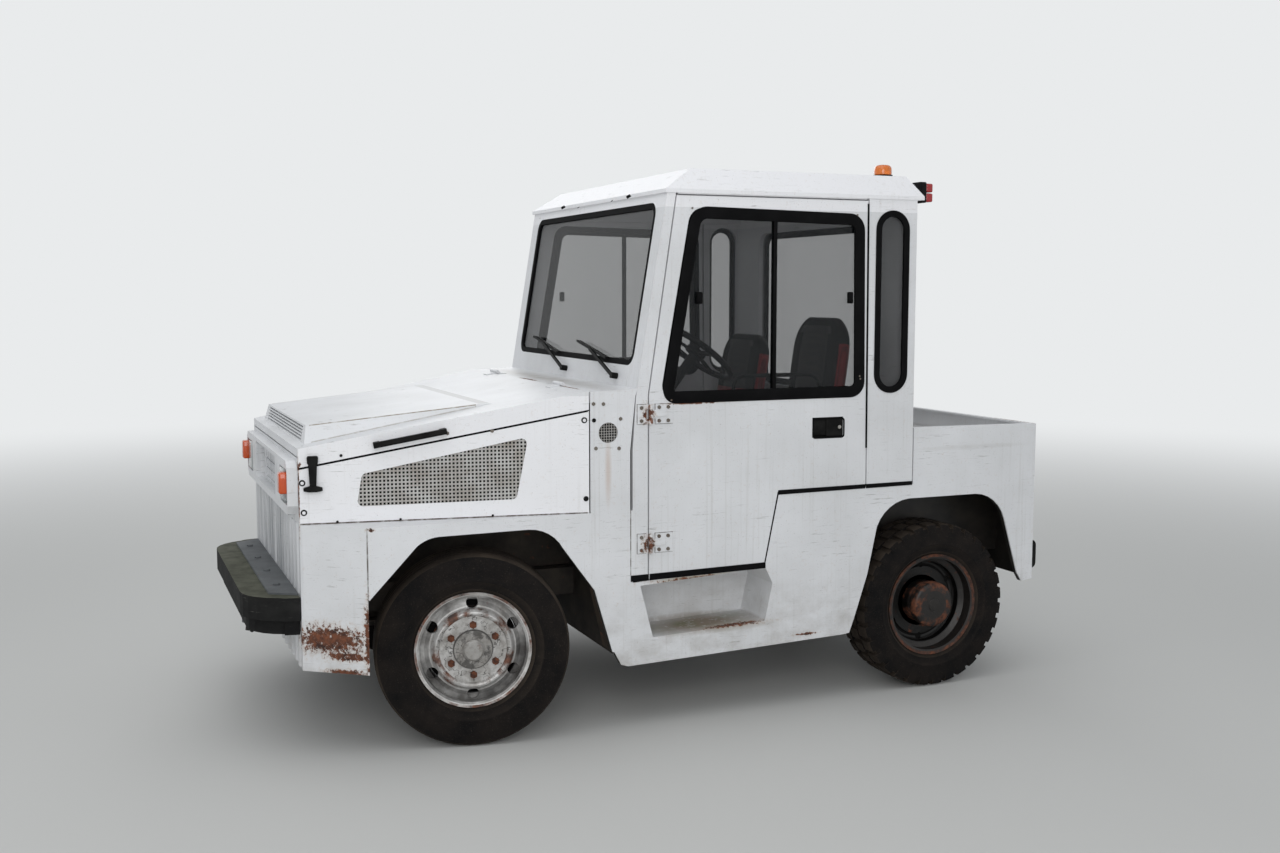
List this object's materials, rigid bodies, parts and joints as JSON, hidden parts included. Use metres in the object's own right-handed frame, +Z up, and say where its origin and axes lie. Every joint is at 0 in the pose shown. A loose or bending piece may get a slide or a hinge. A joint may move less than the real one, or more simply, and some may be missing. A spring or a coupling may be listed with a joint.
{
  "type": "airport tow tractor",
  "caption": "Light airport tow tractor with a closed cab, a sloping hood, two doors, steered front wheels, a rear tray and towing jaws at both ends.",
  "frame": {"origin": "on the ground under the middle of the bounding box", "axes": "+X towards the front of the tractor, +Y to its left, +Z up"},
  "size_m": [3.65, 1.8062, 2.388],
  "materials": {
    "white_paint": "semi_gloss",
    "frame_paint": "matte",
    "wheel_paint": "semi_gloss",
    "grille_steel": "matte",
    "black_plastic": "matte",
    "black_rubber": "matte",
    "tyre_rubber": "matte",
    "window_glass": "gloss",
    "lamp_lens": "gloss",
    "red_lens": "gloss",
    "amber_lens": "gloss",
    "seat_cloth": "matte",
    "floor_paint": "matte"
  },
  "bodies": {
    "chassis": {"frame_rails": "frame_paint", "front_axle": "frame_paint", "rear_axle": "frame_paint", "engine_block": "frame_paint", "skirt_left": "white_paint", "skirt_right": "white_paint", "front_panel": "white_paint", "grille_panel": "white_paint", "front_lamps": "lamp_lens", "hood_sides": "white_paint", "side_grilles": "grille_steel", "cowl": "white_paint", "front_bumper": "black_rubber", "front_hitch": "frame_paint", "rear_deck": "white_paint", "rear_bumpers": "black_rubber", "rear_hitch": "frame_paint", "cab_frame": "white_paint", "cab_floor": "floor_paint", "roof": "white_paint", "windscreen": "window_glass", "cab_glass": "window_glass", "dashboard": "black_plastic", "steering_wheel": "black_plastic", "driver_seat": "seat_cloth", "passenger_seat": "seat_cloth", "beacon": "amber_lens", "tail_lamps": "red_lens", "wipers": "black_rubber"},
    "hood": {"hood_lid": "white_paint", "hood_fittings": "black_rubber"},
    "door_l": {"door_left": "white_paint", "door_glass_left": "window_glass"},
    "door_r": {"door_right": "white_paint", "door_glass_right": "window_glass"},
    "steering_knuckle_l": {"knuckle_left": "frame_paint"},
    "steering_knuckle_r": {"knuckle_right": "frame_paint"},
    "wheel_fl": {"rim_front_left": "wheel_paint", "tyre_front_left": "tyre_rubber"},
    "wheel_fr": {"rim_front_right": "wheel_paint", "tyre_front_right": "tyre_rubber"},
    "wheel_rl": {"rim_rear_left": "wheel_paint", "tyre_rear_left": "tyre_rubber"},
    "wheel_rr": {"rim_rear_right": "wheel_paint", "tyre_rear_right": "tyre_rubber"}
  },
  "joints": [
    {"name": "hood_hinge", "type": "hinge", "parent": "chassis", "child": "hood", "pos_m": [0.482, 0, 1.428], "axis": [0, -1, 0], "range_deg": [0, 60]},
    {"name": "left_door_hinge", "type": "hinge", "parent": "chassis", "child": "door_l", "pos_m": [0.219, 0.876, 1.05], "axis": [0, 0, -1], "range_deg": [0, 75]},
    {"name": "right_door_hinge", "type": "hinge", "parent": "chassis", "child": "door_r", "pos_m": [0.219, -0.876, 1.05], "axis": [0, 0, 1], "range_deg": [0, 75]},
    {"name": "left_kingpin", "type": "hinge", "parent": "chassis", "child": "steering_knuckle_l", "pos_m": [0.935, 0.64, 0.392], "axis": [0, 0, 1], "range_deg": [-20, 40]},
    {"name": "right_kingpin", "type": "hinge", "parent": "chassis", "child": "steering_knuckle_r", "pos_m": [0.935, -0.64, 0.392], "axis": [0, 0, 1], "range_deg": [-20, 40]},
    {"name": "front_left_wheel_spin", "type": "hinge", "parent": "steering_knuckle_l", "child": "wheel_fl", "pos_m": [0.9515, 0.73356, 0.392], "axis": [0.1736, 0.9848, 0], "continuous": true},
    {"name": "front_right_wheel_spin", "type": "hinge", "parent": "steering_knuckle_r", "child": "wheel_fr", "pos_m": [0.9185, -0.73356, 0.392], "axis": [0.1736, 0.9848, 0], "continuous": true},
    {"name": "rear_left_wheel_spin", "type": "hinge", "parent": "chassis", "child": "wheel_rl", "pos_m": [-1.22, 0.735, 0.38], "axis": [0, 1, 0], "continuous": true},
    {"name": "rear_right_wheel_spin", "type": "hinge", "parent": "chassis", "child": "wheel_rr", "pos_m": [-1.22, -0.735, 0.38], "axis": [0, 1, 0], "continuous": true}
  ],
  "couplings": [
    {"joint": "right_kingpin", "follows": "left_kingpin", "ratio": 1}
  ]
}
